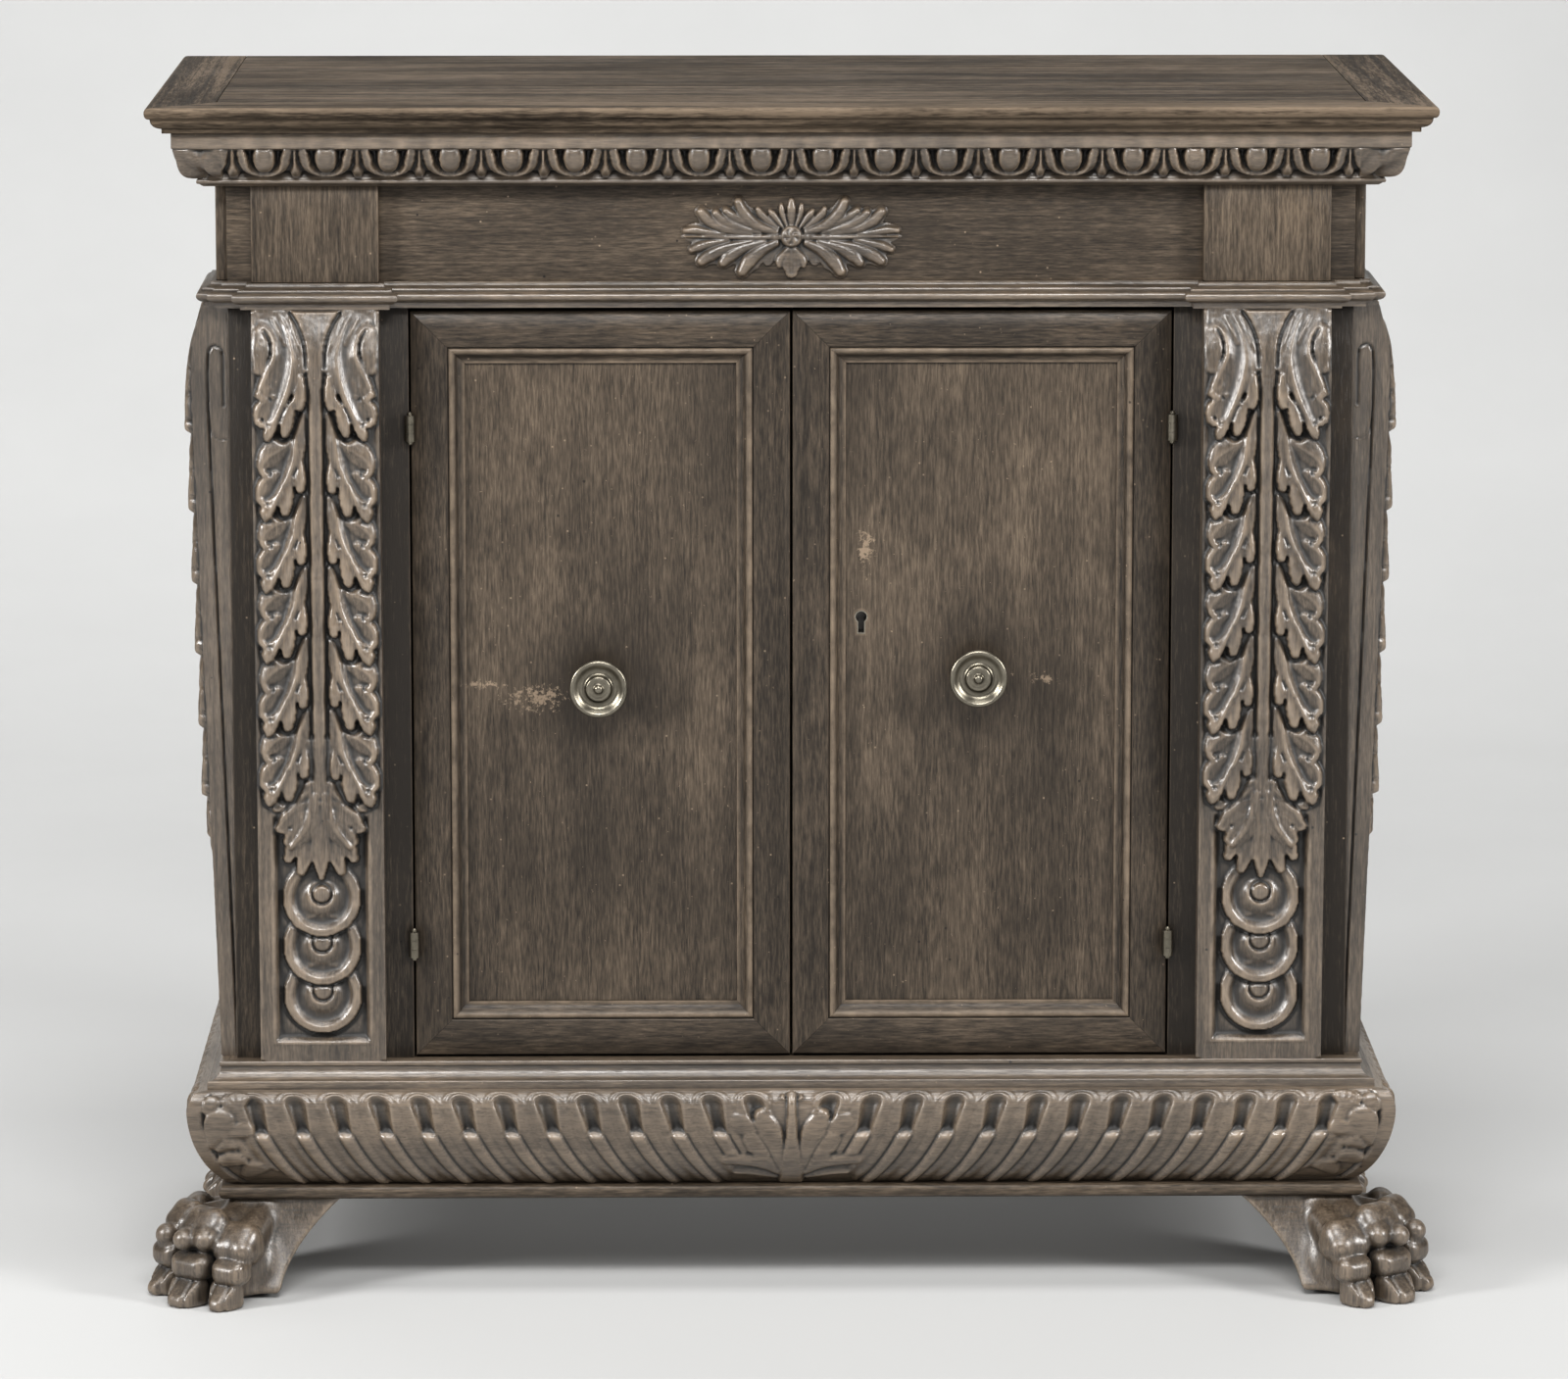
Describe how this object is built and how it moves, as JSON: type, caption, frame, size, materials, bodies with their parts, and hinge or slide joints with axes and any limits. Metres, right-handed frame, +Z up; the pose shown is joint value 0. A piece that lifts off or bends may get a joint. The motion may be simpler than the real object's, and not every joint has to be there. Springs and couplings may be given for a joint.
{
  "type": "carved walnut credenza",
  "caption": "Low walnut cupboard with a pair of panelled doors, carved leaning pilasters, an egg-and-dart cornice, a gadrooned base and paw feet.",
  "frame": {"origin": "on the floor, below the middle of the overall box", "axes": "+X to the viewer's right along the front, +Y to the back, +Z up; the doors face -Y"},
  "size_m": [1.08, 0.48, 1.014],
  "materials": {
    "carved_walnut": "dark waxed walnut, worn on the crests of the carving",
    "case_walnut": "dark waxed walnut",
    "top_walnut": "dark waxed walnut, streaky grain",
    "door_walnut": "dark waxed walnut, upright grain",
    "inside_wood": "plain unpolished wood",
    "brass": "dull dark brass",
    "iron": "dark forged iron"
  },
  "bodies": {
    "carcass": {"cornice_front": "carved_walnut", "cornice_sides": "carved_walnut", "frieze_rosette": "carved_walnut", "architrave_front": "carved_walnut", "architrave_sides": "carved_walnut", "pilaster_front_left": "carved_walnut", "pilaster_front_right": "carved_walnut", "side_pilasters_left": "carved_walnut", "side_pilasters_right": "carved_walnut", "base_cove_front": "carved_walnut", "base_cove_sides": "carved_walnut", "gadroon_front": "carved_walnut", "gadroon_left": "carved_walnut", "gadroon_right": "carved_walnut", "foot_front_left": "carved_walnut", "foot_front_right": "carved_walnut", "foot_rear_left": "carved_walnut", "foot_rear_right": "carved_walnut", "frieze_rail": "case_walnut", "frieze_blocks": "case_walnut", "side_frieze_blocks": "case_walnut", "front_stile_left": "case_walnut", "front_stile_right": "case_walnut", "side_panel_left": "case_walnut", "side_panel_right": "case_walnut", "bottom_frame": "case_walnut", "plinth_rail": "case_walnut", "top_field": "top_walnut", "top_front_band": "top_walnut", "top_cleat_left": "top_walnut", "top_cleat_right": "top_walnut", "back_boards": "inside_wood", "floor_board": "inside_wood", "shelf": "inside_wood", "shelf_cleats": "inside_wood", "hinge_frame_leaves": "iron", "hinge_pins": "iron"},
    "left_door": {"left_door_hinge_stile": "door_walnut", "left_door_meeting_stile": "door_walnut", "left_door_top_rail": "door_walnut", "left_door_bottom_rail": "door_walnut", "left_door_panel": "door_walnut", "left_door_hinge_leaves": "iron", "left_knob": "brass", "left_knob_nut": "iron", "bolt_keeper": "iron", "slide_bolt_staples": "iron"},
    "right_door": {"right_door_hinge_stile": "door_walnut", "right_door_meeting_stile": "door_walnut", "right_door_top_rail": "door_walnut", "right_door_bottom_rail": "door_walnut", "right_door_panel": "door_walnut", "right_door_hinge_leaves": "iron", "right_knob": "brass", "right_knob_nut": "iron", "lock_case": "iron", "keyhole_lining": "brass"},
    "lock_bolt": {"lock_bolt": "iron"},
    "slide_bolt": {"slide_bolt": "iron"}
  },
  "joints": [
    {"name": "left_door_hinge", "type": "hinge", "parent": "carcass", "child": "left_door", "pos_m": [-0.31875, -0.163, 0.52], "axis": [0, 0, -1], "range_deg": [0, 108]},
    {"name": "right_door_hinge", "type": "hinge", "parent": "carcass", "child": "right_door", "pos_m": [0.31875, -0.163, 0.52], "axis": [0, 0, 1], "range_deg": [0, 108]},
    {"name": "lock_bolt_slide", "type": "slide", "parent": "right_door", "child": "lock_bolt", "axis": [-1, 0, 0], "range_m": [0, 0.012]},
    {"name": "slide_bolt_slide", "type": "slide", "parent": "left_door", "child": "slide_bolt", "axis": [0, 0, 1], "range_m": [0, 0.014]}
  ]
}
